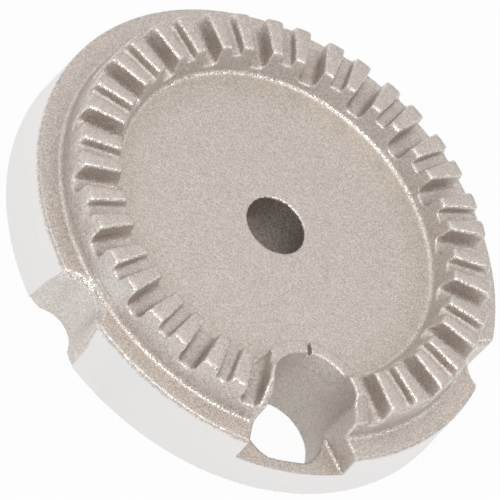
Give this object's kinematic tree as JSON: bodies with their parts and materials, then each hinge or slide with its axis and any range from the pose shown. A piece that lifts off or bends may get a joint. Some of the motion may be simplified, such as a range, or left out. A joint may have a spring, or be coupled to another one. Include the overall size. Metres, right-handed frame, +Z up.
{
  "type": "gas burner crown",
  "caption": "Round cast aluminium gas hob burner crown with a toothed flame ring, a recessed floor with a centre hole, a spark plug pocket and notches in its machined side wall.",
  "frame": {"origin": "on the underside, at the crown's axis", "axes": "+Z up along the crown's axis through the centre hole; the spark plug pocket opens towards -Y"},
  "size_m": [0.0726, 0.0726, 0.0147],
  "materials": {
    "cast_aluminium": "as-cast and shot-blasted, fine matt grain with small bright specks, pale warm grey; the outer side wall is machined smooth and is brighter"
  },
  "bodies": {
    "root": {"burner_crown": "cast_aluminium"}
  },
  "joints": []
}
